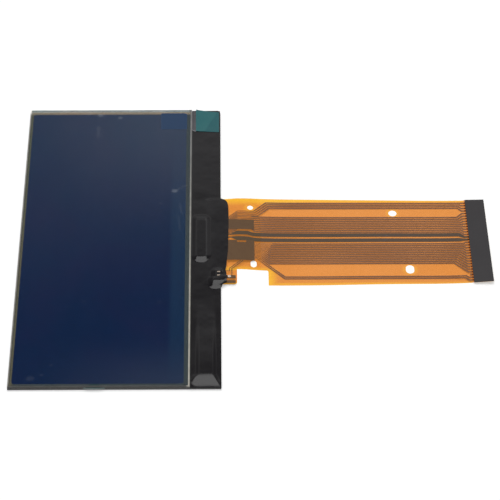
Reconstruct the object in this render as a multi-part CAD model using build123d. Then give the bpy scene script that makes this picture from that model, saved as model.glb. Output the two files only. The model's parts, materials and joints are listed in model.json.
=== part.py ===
from build123d import *
import math
import os

# Bare liquid crystal panel with its driver chip on a glass ledge and a flexible printed tail.
# X runs from the panel towards the tail, Y along the panel's long side, Z up out of the screen.
# The origin is the centre of the rear polariser's rear face, under the middle of the front glass.
# All sizes are in millimetres.

# Glass cell
front_glass_width = 45.2
glass_length = 102.6
front_glass_thickness = 0.55
rear_glass_thickness = 0.55
ledge_width = 7.85
cell_gap = 0.01

# Edge seal and liquid crystal
seal_inset = 0.3
plain_border = 0.95
ledge_border = 1.5
end_border = 1.45
window_corner_radius = 0.6
fill_port_width = 2.4
fill_port_centre = -1.1
plug_width = 5.4
plug_bulge = 0.25

# Polarisers and protective film
polariser_thickness = 0.2
polariser_inset = 0.4
protective_film_thickness = 0.05

# Driver chip on the ledge
chip_width = 1.9
chip_length = 13.6
chip_thickness = 0.45
chip_from_glass = 2.7
chip_centre = 0.7
chip_bond_margin = 0.25
bond_film_thickness = 0.02

# Flexible tail. Lengths run from the ledge's outer edge, widths from the tail's centre line.
tail_centre = 0.1
tail_length = 71.0
tail_width = 31.0
bond_length = 1.85
bond_edge_gap = 0.15
trim_margin = 1.0
flat_root_length = 4.6
notch_length = 12.45
notch_depth = 4.95
notch_corner_radius = 0.5
tail_corner_radius = 0.15

# Height of the copper's underside over the rest plane along the tail's two long edges. It is given at
# three stations near the root, at two shares of the way on, and at one station before the tip.
root_stations = [11.0, 14.5, 18.5]
settle_shares = [0.245, 0.564]
tip_station_from_end = 5.5
far_edge_heights = [0.50, 0.36, 0.27, 0.13, 0.07, 0.08]
near_edge_heights = [0.17, 0.09, 0.07, 0.10, 0.22, 0.48]
far_end_height = 0.22
near_end_height = 1.05

# Component tab on the near side of the tail's root
tab_length = 5.5
tab_outer_reach = 4.25
tab_inner_reach = 2.2
tab_corner_radius = 0.8

# Layers of the tail
copper_thickness = 0.03
base_film_thickness = 0.05
coverlay_thickness = 0.04
coverlay_edge_gap = 0.25
root_copper_thickness = 0.02
root_coverlay_thickness = 0.04
root_coverlay_length = 10.6
pad_window_reach = 0.625
plating_thickness = 0.01
stiffener_adhesive_thickness = 0.03
stiffener_thickness = 0.2
stiffener_length = 5.1
contact_length = 5.45

# Locating holes: two round ones, and two slots as wide as the pins that run across the tail
root_pin_radius = 0.8
root_hole_reach = 7.95
root_hole_place = 12.45
root_slot_reach = 8.62
root_slot_place = -8.45
root_slot_length = 2.45
outer_pin_radius = 1.1
outer_hole_from_end = 24.85
outer_hole_place = 10.65
outer_slot_from_end = 21.45
outer_slot_place = -10.3
outer_slot_length = 3.05

# Conductors: places are the first line's distance from the centre line, then the pitch
contact_count = 30
contact_pitch = 1.0
contact_width = 0.65
fan_width = 0.45
upper_bond_place = 9.0
upper_bond_pitch = 0.5
upper_root_place = 11.1
upper_root_pitch = 0.555
lower_bond_place = -0.6
lower_bond_pitch = 0.34
lower_root_place = -0.81
lower_root_pitch = 0.43
far_run_place = 14.5
far_run_pitch = 0.65
upper_run_place = 9.06
upper_run_pitch = 0.69
lower_run_pitch = 0.66
near_run_place = -12.85
near_run_pitch = 0.65
root_copper_share = 0.5
run_copper_share = 0.6
far_count = 4
run_bend_minimum = 0.2
shortest_run = 0.01

# Where the conductors bend, from the ledge's outer edge
upper_fan_end = 4.5
lower_fan_end = 3.3
far_exit_reach = 8.75
far_exit_step = 0.385
upper_exit_reach = 8.2
lower_exit_reach = 13.55
lower_exit_slope = 0.7
contact_fan_from_end = 6.25

# Two wide supply bands in the middle of the tail
band_bond_places = [2.36, 1.2]
band_bond_widths = [0.5, 0.4]
band_root_places = [2.94, 0.9]
band_root_width = 1.35
band_run_places = [2.45, 0.55]
band_run_width = 1.3
band_fan_start = 2.9
band_fan_length = 1.4
band_step_start = 7.1
band_step_length = 1.6
band_contacts = [13, 14]
stub_contact = 27

# Upper copper at the root
upper_plate_high = 7.9
upper_plate_low = 4.2
lower_plate_high = 0.1
lower_plate_low = -7.2
plate_end = 8.9
plate_window_start = 4.35
plate_window_end = 6.75
plate_window_high = -0.05
plate_window_low = -0.62
link_width = 0.22
link_lead = 0.3
link_step = 2.9
link_turn_drop = 0.7
link_pitch = 0.66

# Copper, chip capacitors and via on the component tab. Drops run from the root's near edge.
capacitor_length = 1.6
capacitor_width = 0.8
capacitor_height = 0.8
terminal_length = 0.35
terminal_wrap = 0.02
solder_thickness = 0.02
pad_margin = 0.12
first_capacitor_reach = -0.55
first_capacitor_drop = 2.35
second_capacitor_reach = -0.9
second_capacitor_drop = 4.65
first_strip_drop = 2.3
first_strip_width = 1.1
second_strip_drop = 4.1
second_strip_width = 1.0
strip_end_margin = 0.35
via_reach = 2.25
via_drop = 2.65
via_radius = 0.4
via_hole_radius = 0.18

# Black tape over the ledge
tape_thickness = 0.07
tape_glass_gap = 0.15
tape_corner_radius = 0.7
tape_wrap_depth = 0.6
tape_root_reach = 2.15
tape_near_reach = 1.25
tape_shoulder = 1.0
tape_tab_overlap = 1.6
tape_side_margin = 0.25
chip_tent_gap = 0.05
capacitor_tent_foot = 0.25

# Lift tab for the protective film, at the panel's far end
lift_tab_width = 8.6
lift_tab_from_end = 0.35
green_start = 1.95
green_length = 5.6
green_skew = 1.0
clear_tape_thickness = 0.05
green_film_thickness = 0.05
patch_thickness = 0.02
patch_length = 7.3
patch_width = 6.9
clear_run_off = 0.4
clear_overlap = 1.0
clear_bend_radius = 0.6

# Places worked out from the sizes above
front_glass_edge = front_glass_width / 2
ledge_edge = front_glass_edge + ledge_width
half_length = glass_length / 2
rear_glass_base = polariser_thickness
ledge_top = rear_glass_base + rear_glass_thickness
front_glass_base = ledge_top + cell_gap
front_glass_top = front_glass_base + front_glass_thickness
polariser_top = front_glass_top + polariser_thickness
screen_top = polariser_top + protective_film_thickness
copper_base = ledge_top + bond_film_thickness
chip_base = copper_base
chip_top = chip_base + chip_thickness
base_film_level = copper_thickness
root_copper_level = base_film_level + base_film_thickness
root_coverlay_level = root_copper_level + root_copper_thickness
root_top = copper_base + root_coverlay_level + root_coverlay_thickness
tail_end = ledge_edge + tail_length
bond_start = ledge_edge - bond_length
tail_far = tail_centre + tail_width / 2
tail_near = tail_centre - tail_width / 2
root_near = tail_near + notch_depth
tab_near = root_near - tab_length
tab_outer = ledge_edge + tab_outer_reach
tab_inner = ledge_edge - tab_inner_reach
component_edge = ledge_edge + pad_window_reach
contact_fan_end = tail_length - contact_fan_from_end
outer_hole_reach = tail_length - outer_hole_from_end
outer_slot_reach = tail_length - outer_slot_from_end
tip_station = tail_length - tip_station_from_end
settle_stations = [
    root_stations[-1] + share * (tip_station - root_stations[-1]) for share in settle_shares
]
tail_stations = root_stations + settle_stations + [tip_station]


def block(x_range, y_range, z_range):
    """Box between two values on each axis."""
    spans = [high - low for low, high in (x_range, y_range, z_range)]
    middle = [(high + low) / 2 for low, high in (x_range, y_range, z_range)]
    return Pos(*middle) * Box(*spans)


def rounded_plate(x_range, y_range, z_range, radius):
    """Box with its four upright corners rounded."""
    plate = block(x_range, y_range, z_range)
    return fillet(plate.edges().filter_by(Axis.Z), radius)


def tent(x_range, y_range, base, top, foot):
    """Frustum whose top is the given rectangle and whose foot is wider all round."""
    width = x_range[1] - x_range[0]
    length = y_range[1] - y_range[0]
    middle = ((x_range[0] + x_range[1]) / 2, (y_range[0] + y_range[1]) / 2)
    lower = Pos(*middle, base) * Rectangle(width + 2 * foot, length + 2 * foot)
    upper = Pos(*middle, top) * Rectangle(width, length)
    return loft([lower, upper], ruled=True)


def nearest_vertex(face, x, y):
    """Corner of a flat outline that lies nearest to a point."""
    return face.vertices().sort_by_distance((x, y, 0))[0]


def ribbon(path, widths):
    """Flat line of copper along a path of points, with a width at each and mitred corners."""
    points = [Vector(*point) for point in path]
    runs = [(after - before).normalized() for before, after in zip(points, points[1:])]
    left = []
    right = []
    for index, (point, width) in enumerate(zip(points, widths)):
        arriving = runs[max(index - 1, 0)]
        leaving = runs[min(index, len(runs) - 1)]
        bisector = Vector(-arriving.Y - leaving.Y, arriving.X + leaving.X)
        mitre = bisector * (width / (bisector.length ** 2))
        left.append(point + mitre)
        right.append(point - mitre)
    return make_face(Polyline(*left, *reversed(right), close=True))


# Glass cell

def make_rear_glass():
    return block((-front_glass_edge, ledge_edge), (-half_length, half_length), (rear_glass_base, ledge_top))


def make_front_glass():
    x_range = (-front_glass_edge, front_glass_edge)
    return block(x_range, (-half_length, half_length), (front_glass_base, front_glass_top))


def make_liquid_crystal():
    x_range = (plain_border - front_glass_edge, front_glass_edge - ledge_border)
    end = half_length - end_border
    return rounded_plate(x_range, (-end, end), (ledge_top, front_glass_base), window_corner_radius)


def fill_port():
    """Channel through the seal on the near side, where the cell was filled."""
    x_range = (fill_port_centre - fill_port_width / 2, fill_port_centre + fill_port_width / 2)
    return block(x_range, (-half_length, end_border - half_length), (ledge_top, front_glass_base))


def make_perimeter_seal():
    edge = front_glass_edge - seal_inset
    end = half_length - seal_inset
    ring = block((-edge, edge), (-end, end), (ledge_top, front_glass_base))
    return ring - make_liquid_crystal() - fill_port()


def make_end_seal_plug():
    """Cured resin in the fill port, with a bead that bulges over the two glass edges."""
    bead_height = front_glass_thickness + cell_gap
    bead_middle = ledge_top + cell_gap / 2
    reach = plug_width / 2
    chord = Line((fill_port_centre - reach, -half_length), (fill_port_centre + reach, -half_length))
    bulge = ThreePointArc(
        (fill_port_centre + reach, -half_length),
        (fill_port_centre, -half_length - plug_bulge),
        (fill_port_centre - reach, -half_length),
    )
    outline = Pos(0, 0, bead_middle - bead_height / 2) * make_face(chord + bulge)
    return fill_port() + extrude(outline, amount=bead_height, dir=(0, 0, 1))


def screen_sheet(base, thickness):
    """Sheet with the polariser's outline."""
    edge = front_glass_edge - polariser_inset
    end = half_length - polariser_inset
    return block((-edge, edge), (-end, end), (base, base + thickness))


# Driver chip

def chip_range(margin):
    """X and Y range of the chip, grown by a margin."""
    middle = front_glass_edge + chip_from_glass
    half_width = chip_width / 2 + margin
    half_span = chip_length / 2 + margin
    return (middle - half_width, middle + half_width), (chip_centre - half_span, chip_centre + half_span)


def make_driver_chip():
    x_range, y_range = chip_range(0)
    return block(x_range, y_range, (chip_base, chip_top))


def make_chip_bond_film():
    x_range, y_range = chip_range(chip_bond_margin)
    return block(x_range, y_range, (ledge_top, chip_base))


# Flexible tail

def edge_curve(station_heights, end_height, other_heights, other_end, y):
    """Height curve of one long edge, moved out past it in line with the other edge.

    Its parameter is the distance along X, so that the lines between the two edges stay square to the tail.
    """
    past = abs(y - tail_centre) / tail_width - 1 / 2
    reaches = [flat_root_length] + tail_stations + [tail_length + trim_margin]
    heights = [copper_base]
    for height, other in zip(station_heights + [end_height], other_heights + [other_end]):
        heights.append(height + past * (height - other))
    points = [Vector(ledge_edge + reach, y, height) for reach, height in zip(reaches, heights)]
    slope = (heights[-1] - heights[-2]) / (reaches[-1] - reaches[-2])
    tangents = [Vector(1, 0, 0), Vector(1, 0, slope)]
    return Edge.make_spline(points, tangents=tangents, parameters=reaches, scale=False)


def make_tail_surface():
    """Underside of the copper: flat where it is bonded, then ruled between the two long edges."""
    far_y = tail_far + trim_margin
    near_y = tail_near - trim_margin
    far = edge_curve(far_edge_heights, far_end_height, near_edge_heights, near_end_height, far_y)
    near = edge_curve(near_edge_heights, near_end_height, far_edge_heights, far_end_height, near_y)
    return Face.make_surface_from_curves(far, near)


tail_surface = make_tail_surface()


def tail_layer(level, thickness):
    """Whole layer of the tail at a level over the copper's underside, before it is cut to shape."""
    reach = (tab_inner - trim_margin, ledge_edge + flat_root_length)
    across = (tab_near - trim_margin, tail_far + trim_margin)
    height = copper_base + level
    flat = block(reach, across, (height, height + thickness))
    bent = Solid.extrude(tail_surface, Vector(0, 0, thickness))
    return flat + Pos(0, 0, level) * bent


def cut_from_layer(outlines, level, thickness):
    """Shapes of a layer that lie inside flat outlines."""
    layer = tail_layer(level, thickness)
    tall = screen_top + thickness
    pieces = []
    for outline in outlines:
        column = Pos(0, 0, -tall) * extrude(outline, amount=3 * tall, dir=(0, 0, 1))
        pieces.extend((layer & column).solids())
    return pieces


def tail_outline(inset):
    """Outline of the base film, with the notch and the component tab."""
    points = [
        (bond_start, tail_far - inset),
        (tail_end, tail_far - inset),
        (tail_end, tail_near + inset),
        (ledge_edge + notch_length + inset, tail_near + inset),
        (ledge_edge + notch_length + inset, root_near + inset),
        (tab_outer - inset, root_near + inset),
        (tab_outer - inset, tab_near + inset),
        (tab_inner, tab_near + inset),
        (tab_inner, root_near + inset),
        (bond_start, root_near + inset),
    ]
    outline = make_face(Polyline(*points, close=True))
    outline = fillet(nearest_vertex(outline, *points[3]), tail_corner_radius)
    outline = fillet(nearest_vertex(outline, *points[4]), notch_corner_radius)
    outline = fillet(nearest_vertex(outline, *points[6]), tab_corner_radius)
    return fillet(nearest_vertex(outline, *points[7]), tab_corner_radius)


def film_point(reach, place):
    """Point of the copper's underside, with its normal."""
    x = ledge_edge + reach
    y = tail_centre + place
    ray = Axis((x, y, -screen_top), (0, 0, 1))
    point, normal = tail_surface.find_intersection_points(ray)[0]
    return point, normal if normal.Z > 0 else -normal


def punch(reach, place, radius, length):
    """Punch of a round hole, or of a slot across the tail, square to the film."""
    point, normal = film_point(reach, place)
    plane = Plane(origin=point, x_dir=(0, 1, 0), z_dir=normal)
    if length > 2 * radius:
        outline = plane * SlotOverall(length, 2 * radius)
    else:
        outline = plane * Circle(radius)
    return extrude(outline, amount=screen_top, both=True)


def make_punches():
    return [
        punch(root_hole_reach, root_hole_place, root_pin_radius, 0),
        punch(root_slot_reach, root_slot_place, root_pin_radius, root_slot_length),
        punch(outer_hole_reach, outer_hole_place, outer_pin_radius, 0),
        punch(outer_slot_reach, outer_slot_place, outer_pin_radius, outer_slot_length),
    ]


def contact_place(index):
    """Distance of a contact from the tail's centre line."""
    return contact_pitch * ((contact_count - 1) / 2 - index)


def conductor_path(bond, root, run, contact, root_fan_end, exit_reach, widths):
    """Ribbon of one conductor, from its bond on the ledge to its contact at the tail's end."""
    stops = [
        (-bond_length, bond, widths[0]),
        (root_fan_end - abs(root - bond), bond, widths[0]),
        (root_fan_end, root, widths[0]),
        (exit_reach, root, widths[0]),
        (exit_reach + max(abs(run - root), run_bend_minimum), run, widths[1]),
        (contact_fan_end - abs(contact - run), run, widths[1]),
        (contact_fan_end, contact, fan_width),
        (tail_length - contact_length, contact, fan_width),
        (tail_length - contact_length + fan_width, contact, contact_width),
        (tail_length, contact, contact_width),
    ]
    kept = [stops[0]]
    for stop in stops[1:]:
        if stop[0] - kept[-1][0] > shortest_run:
            kept.append(stop)
    path = [(ledge_edge + reach, tail_centre + place) for reach, place, width in kept]
    return ribbon(path, [width for reach, place, width in kept])


def upper_conductor(index, run, run_pitch, exit_reach):
    """Conductor on the far side of the supply bands."""
    bond = upper_bond_place - upper_bond_pitch * index
    root = upper_root_place - upper_root_pitch * index
    widths = (root_copper_share * upper_bond_pitch, run_copper_share * run_pitch)
    return conductor_path(bond, root, run, contact_place(index), upper_fan_end, exit_reach, widths)


def lower_conductor(row, index, run, run_pitch):
    """Conductor on the near side of the supply bands."""
    bond = lower_bond_place - lower_bond_pitch * row
    root = lower_root_place - lower_root_pitch * row
    exit_reach = lower_exit_reach - lower_exit_slope * (lower_root_place - root)
    widths = (root_copper_share * lower_bond_pitch, run_copper_share * run_pitch)
    return conductor_path(bond, root, run, contact_place(index), lower_fan_end, exit_reach, widths)


def far_outlines():
    outlines = []
    for index in range(far_count):
        run = far_run_place - far_run_pitch * index
        exit_reach = far_exit_reach + far_exit_step * index
        outlines.append(upper_conductor(index, run, far_run_pitch, exit_reach))
    return outlines


def upper_outlines():
    outlines = []
    for index in range(far_count, band_contacts[0]):
        run = upper_run_place - upper_run_pitch * (index - far_count)
        outlines.append(upper_conductor(index, run, upper_run_pitch, upper_exit_reach))
    return outlines


def lower_outlines():
    outlines = []
    for row in range(stub_contact - band_contacts[1] - 1):
        index = band_contacts[1] + 1 + row
        run = lower_root_place - lower_run_pitch * row
        outlines.append(lower_conductor(row, index, run, lower_run_pitch))
    return outlines


def near_outlines():
    outlines = []
    for index in range(stub_contact + 1, contact_count):
        row = index - band_contacts[1] - 2
        run = near_run_place - near_run_pitch * (index - stub_contact - 1)
        outlines.append(lower_conductor(row, index, run, near_run_pitch))
    return outlines


def band_outline(order):
    """Wide supply band: it widens after the bond, steps once and narrows to its contact."""
    root = band_root_places[order]
    run = band_run_places[order]
    contact = contact_place(band_contacts[order])
    stops = [
        (-bond_length, band_bond_places[order], band_bond_widths[order]),
        (band_fan_start, band_bond_places[order], band_bond_widths[order]),
        (band_fan_start + band_fan_length, root, band_root_width),
        (band_step_start, root, band_root_width),
        (band_step_start + band_step_length, run, band_run_width),
        (contact_fan_end - band_fan_length, run, band_run_width),
        (contact_fan_end, contact, contact_width),
        (tail_length, contact, contact_width),
    ]
    path = [(ledge_edge + reach, tail_centre + place) for reach, place, width in stops]
    return ribbon(path, [width for reach, place, width in stops])


def finger_outline(index, start):
    """Contact finger at the tail's end."""
    place = tail_centre + contact_place(index)
    return ribbon([(ledge_edge + start, place), (tail_end, place)], [contact_width, contact_width])


def make_base_film():
    film = Part(cut_from_layer([tail_outline(0)], base_film_level, base_film_thickness)[0].wrapped)
    for tool in make_punches():
        film -= tool
    return film


def make_coverlay():
    """Film under the copper, from just past the ledge to the start of the contacts."""
    start = ledge_edge + coverlay_edge_gap
    end = tail_end - contact_length
    window = make_face(Polyline(
        (start, tab_near - trim_margin),
        (end, tab_near - trim_margin),
        (end, tail_far + trim_margin),
        (start, tail_far + trim_margin),
        close=True,
    ))
    outline = tail_outline(0) & window
    film = Part(cut_from_layer([outline], -coverlay_thickness, coverlay_thickness)[0].wrapped)
    for tool in make_punches():
        film -= tool
    return film


def rectangle_between(x_range, y_range):
    """Flat rectangle between two values on each axis."""
    middle = ((x_range[0] + x_range[1]) / 2, (y_range[0] + y_range[1]) / 2)
    return Pos(*middle) * Rectangle(x_range[1] - x_range[0], y_range[1] - y_range[0])


def make_root_plates():
    """Two plates of upper copper over the crossing conductors, the lower one with a window."""
    reach = (ledge_edge + coverlay_edge_gap, ledge_edge + plate_end)
    upper = rectangle_between(reach, (tail_centre + upper_plate_low, tail_centre + upper_plate_high))
    lower = rectangle_between(reach, (tail_centre + lower_plate_low, tail_centre + lower_plate_high))
    window = rectangle_between(
        (ledge_edge + plate_window_start, ledge_edge + plate_window_end),
        (tail_centre + plate_window_low, tail_centre + plate_window_high),
    )
    return cut_from_layer([upper, lower - window], root_copper_level, root_copper_thickness)


def capacitor_pads():
    """Copper pads under the two capacitors' terminals."""
    reach = capacitor_length / 2 - terminal_length / 2
    along = terminal_length + 2 * pad_margin
    across = capacitor_width + 2 * pad_margin
    x = ledge_edge + first_capacitor_reach
    y = root_near - first_capacitor_drop
    pads = [Pos(x, y + side * reach) * Rectangle(across, along) for side in (1, -1)]
    x = ledge_edge + second_capacitor_reach
    y = root_near - second_capacitor_drop
    pads += [Pos(x + side * reach, y) * Rectangle(along, across) for side in (-1, 1)]
    return pads


def make_tab_copper():
    """Pads, two strips and the two fine links that run back to the lower plate."""
    pads = capacitor_pads()
    strip_end = tab_outer - strip_end_margin
    strips = []
    for drop, width, reach in (
        (first_strip_drop, first_strip_width, first_capacitor_reach),
        (second_strip_drop, second_strip_width, second_capacitor_reach + capacitor_length / 2),
    ):
        strips.append(rectangle_between(
            (ledge_edge + reach, strip_end),
            (root_near - drop - width, root_near - drop),
        ))
    plate_low = tail_centre + lower_plate_low
    first_link = ribbon(
        [
            (ledge_edge + via_reach + link_step, plate_low),
            (ledge_edge + via_reach + link_step, plate_low - link_lead),
            (ledge_edge + via_reach, plate_low - link_lead - link_step),
            (ledge_edge + via_reach, root_near - link_turn_drop),
            (ledge_edge + first_capacitor_reach, root_near - link_turn_drop),
            (ledge_edge + first_capacitor_reach, root_near - first_capacitor_drop + capacitor_length / 2),
        ],
        [link_width] * 6,
    )
    second_reach = via_reach + link_pitch
    second_link = ribbon(
        [
            (ledge_edge + second_reach + link_step, plate_low),
            (ledge_edge + second_reach + link_step, plate_low - link_lead),
            (ledge_edge + second_reach, plate_low - link_lead - link_step),
            (ledge_edge + second_reach, root_near - first_strip_drop - link_width),
        ],
        [link_width] * 4,
    )
    hole = Pos(ledge_edge + via_reach, root_near - via_drop) * Circle(via_hole_radius)
    supply = pads[1] + strips[0] + second_link - hole
    outlines = [pads[0] + first_link, supply, pads[2], pads[3] + strips[1]]
    return cut_from_layer(outlines, root_copper_level, root_copper_thickness)


def make_root_coverlay():
    """Film over the upper copper. It leaves the capacitors' pads bare."""
    end = ledge_edge + root_coverlay_length
    outline = tail_outline(0) & rectangle_between(
        (bond_start, end), (tab_near - trim_margin, tail_far + trim_margin)
    )
    bare = rectangle_between((tab_inner - trim_margin, component_edge), (tab_near - trim_margin, root_near))
    film = Part(cut_from_layer([outline - bare], root_coverlay_level, root_coverlay_thickness)[0].wrapped)
    for tool in make_punches():
        film -= tool
    via = Pos(ledge_edge + via_reach, root_near - via_drop) * Circle(via_radius)
    return film - extrude(via, amount=screen_top)


def make_via_ring():
    """Tinned ring in the coverlay's opening over the first strip."""
    ring = Circle(via_radius) - Circle(via_hole_radius)
    outline = Pos(ledge_edge + via_reach, root_near - via_drop) * ring
    return cut_from_layer([outline], root_coverlay_level, root_coverlay_thickness)


def terminal_blocks():
    """Space taken up by the capacitors' metal ends, two for each capacitor."""
    bottom = copper_base + root_coverlay_level + solder_thickness
    top = bottom + capacitor_height
    reach = capacitor_length / 2
    half = capacitor_width / 2
    x = ledge_edge + first_capacitor_reach
    y = root_near - first_capacitor_drop
    z_range = (bottom, top)
    ends = [
        block((x - half, x + half), (y + reach - terminal_length, y + reach), z_range),
        block((x - half, x + half), (y - reach, y - reach + terminal_length), z_range),
    ]
    x = ledge_edge + second_capacitor_reach
    y = root_near - second_capacitor_drop
    ends.append(block((x - reach, x - reach + terminal_length), (y - half, y + half), z_range))
    ends.append(block((x + reach - terminal_length, x + reach), (y - half, y + half), z_range))
    return ends


def make_capacitor_bodies():
    """Ceramic bodies, which run on inside the metal ends."""
    bottom = copper_base + root_coverlay_level + solder_thickness + terminal_wrap
    top = bottom + capacitor_height - 2 * terminal_wrap
    reach = capacitor_length / 2 - terminal_wrap
    half = capacitor_width / 2 - terminal_wrap
    x = ledge_edge + first_capacitor_reach
    y = root_near - first_capacitor_drop
    first = block((x - half, x + half), (y - reach, y + reach), (bottom, top))
    x = ledge_edge + second_capacitor_reach
    y = root_near - second_capacitor_drop
    second = block((x - reach, x + reach), (y - half, y + half), (bottom, top))
    return [first, second]


def make_terminals():
    """Metal caps that wrap the ends of the ceramic bodies."""
    bodies = make_capacitor_bodies()
    caps = []
    for index, end in enumerate(terminal_blocks()):
        caps.extend((end - bodies[index // 2]).solids())
    return caps


def make_solder():
    """Solder between the pads and the capacitors' ends."""
    level = root_copper_level + root_copper_thickness
    joints = []
    for pad in capacitor_pads():
        joints.extend(cut_from_layer([pad], level, solder_thickness))
    return joints


def make_stiffener(level, thickness):
    """Strip across the tail's end, as long as the contacts."""
    outline = rectangle_between((tail_end - stiffener_length, tail_end), (tail_near, tail_far))
    return cut_from_layer([outline], level, thickness)


def make_flex_bond_film():
    """Bond between the glass ledge and the tail's root."""
    return block(
        (bond_start, ledge_edge - bond_edge_gap),
        (root_near + bond_edge_gap, tail_far - bond_edge_gap),
        (ledge_top, copper_base),
    )


# Black tape over the ledge, the chip, the tail's root and the component tab

def draped_over(skin):
    """What the tape lies on, grown by a skin."""
    glass = block(
        (front_glass_edge + tape_glass_gap, ledge_edge + skin),
        (-half_length - skin, half_length + skin),
        (ledge_top - tape_wrap_depth, ledge_top + skin),
    )
    root = block(
        (bond_start - skin, ledge_edge + flat_root_length),
        (root_near - skin, tail_far + skin),
        (ledge_top, root_top + skin),
    )
    tab = block(
        (tab_inner - skin, ledge_edge + flat_root_length),
        (tab_near - skin, root_near),
        (ledge_top, root_top + skin),
    )
    chip_x, chip_y = chip_range(skin)
    chip_foot = chip_bond_margin + chip_tent_gap
    shape = glass + root + tab + tent(chip_x, chip_y, ledge_top + skin, chip_top + skin, chip_foot)
    capacitor_top = copper_base + root_coverlay_level + solder_thickness + capacitor_height
    for x_range, y_range in capacitor_ranges(skin):
        shape += tent(x_range, y_range, root_top + skin, capacitor_top + skin, capacitor_tent_foot)
    return shape


def capacitor_ranges(margin):
    """X and Y range of each capacitor, grown by a margin."""
    half_span = capacitor_length / 2 + margin
    half = capacitor_width / 2 + margin
    first = (ledge_edge + first_capacitor_reach, root_near - first_capacitor_drop)
    second = (ledge_edge + second_capacitor_reach, root_near - second_capacitor_drop)
    return [
        ((first[0] - half, first[0] + half), (first[1] - half_span, first[1] + half_span)),
        ((second[0] - half_span, second[0] + half_span), (second[1] - half, second[1] + half)),
    ]


def tape_outline():
    """Plan of the tape: straight along the ledge, with a tongue over the tail's root and tab."""
    left = front_glass_edge + tape_glass_gap
    right = ledge_edge + tape_thickness
    end = half_length + tape_thickness
    root_far = tail_far + tape_side_margin
    tab_end = tab_near - tape_side_margin
    tongue = ledge_edge + tape_root_reach
    waist = ledge_edge + tape_near_reach
    tab_reach = ledge_edge + tape_tab_overlap
    path = [
        Line((left, -end), (left, end)),
        Line((left, end), (right - tape_corner_radius, end)),
        RadiusArc((right - tape_corner_radius, end), (right, end - tape_corner_radius), tape_corner_radius),
        Line((right, end - tape_corner_radius), (right, root_far)),
        Line((right, root_far), (tongue - tape_shoulder, root_far)),
        ThreePointArc(
            (tongue - tape_shoulder, root_far),
            (tongue - (1 - math.sqrt(0.5)) * tape_shoulder, root_far - (1 - math.sqrt(0.5)) * tape_shoulder),
            (tongue, root_far - tape_shoulder),
        ),
        Line((tongue, root_far - tape_shoulder), (tongue, tail_centre)),
        Spline(
            (tongue, tail_centre),
            (waist, root_near - tape_thickness),
            tangents=[(0, -1), (waist - tongue, -notch_depth)],
        ),
        Line((waist, root_near - tape_thickness), (tab_reach, root_near - tape_shoulder)),
        Line((tab_reach, root_near - tape_shoulder), (tab_reach, tab_end)),
        Line((tab_reach, tab_end), (right, tab_end - tape_shoulder)),
        Line((right, tab_end - tape_shoulder), (right, -end)),
        Line((right, -end), (left, -end)),
    ]
    return make_face(Wire(path))


def make_ledge_tape():
    """Skin over what it is draped on. It wraps the glass edge except where the tail leaves it."""
    sheet = draped_over(tape_thickness) - draped_over(0)
    column = Pos(0, 0, -screen_top) * extrude(tape_outline(), amount=4 * screen_top, dir=(0, 0, 1))
    exit_gap = block(
        (ledge_edge, ledge_edge + flat_root_length),
        (tab_near - tape_side_margin - tape_shoulder, tail_far + tape_side_margin),
        (-screen_top, root_top),
    )
    far_side = block(
        (0, ledge_edge + flat_root_length),
        (half_length, half_length + 2 * tape_thickness),
        (-screen_top, ledge_top),
    )
    tape = (sheet & column) - exit_gap - far_side
    return tape.solids().sort_by(SortBy.VOLUME)[-1]


# Lift tab

def lift_tab_range():
    high = half_length - lift_tab_from_end
    return high - lift_tab_width, high


def make_adhesive_patch():
    low, high = lift_tab_range()
    middle = (low + high) / 2
    right = front_glass_edge - polariser_inset - clear_run_off
    return block(
        (right - patch_length, right),
        (middle - patch_width / 2, middle + patch_width / 2),
        (screen_top, screen_top + patch_thickness),
    )


def make_green_tab():
    """Green film that lies on the black tape, with its far edge cut askew."""
    low, high = lift_tab_range()
    start = front_glass_edge + green_start
    end = start + green_length
    outline = make_face(Polyline((start, low), (end, low), (end, high - green_skew), (start, high), close=True))
    level = ledge_top + tape_thickness
    return extrude(Pos(0, 0, level) * outline, amount=green_film_thickness, dir=(0, 0, 1))


def make_clear_tape():
    """Clear tape from the patch, down over the glass edge and onto the green film."""
    low, high = lift_tab_range()
    upper = screen_top + patch_thickness
    lower = ledge_top + tape_thickness + green_film_thickness
    right = front_glass_edge - polariser_inset - clear_run_off
    landing = front_glass_edge + green_start
    path = [
        (right - patch_length, upper),
        (right + clear_run_off, upper),
        (landing, lower),
        (landing + clear_overlap, lower),
    ]
    under = FilletPolyline(*path, radius=clear_bend_radius)
    over = Pos(0, clear_tape_thickness) * under
    first = Line(under @ 0, over @ 0)
    last = Line(under @ 1, over @ 1)
    section = Plane.XZ * make_face(Wire([*under.edges(), *over.edges(), *first.edges(), *last.edges()]))
    return Pos(0, high, 0) * extrude(section, amount=high - low, dir=(0, -1, 0))


def save(name, shape):
    """Write one sub-part, made of one or more separate solids."""
    solids = shape if isinstance(shape, list) else shape.solids()
    whole = Compound(label=name, children=[Solid(solid.wrapped) for solid in solids])
    volume = sum(solid.volume for solid in whole.solids())
    print(name, len(whole.solids()), "solids", round(volume, 4), "cubic mm")
    export_step(whole, f"parts/{name}.step")


os.makedirs("parts", exist_ok=True)
conductor_groups = {
    "far_conductors": far_outlines(),
    "upper_conductors": upper_outlines(),
    "supply_bands": [band_outline(0), band_outline(1)],
    "lower_conductors": lower_outlines(),
    "near_conductors": near_outlines(),
    "blank_contact": [finger_outline(stub_contact, tail_length - contact_length - fan_width)],
}

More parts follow.
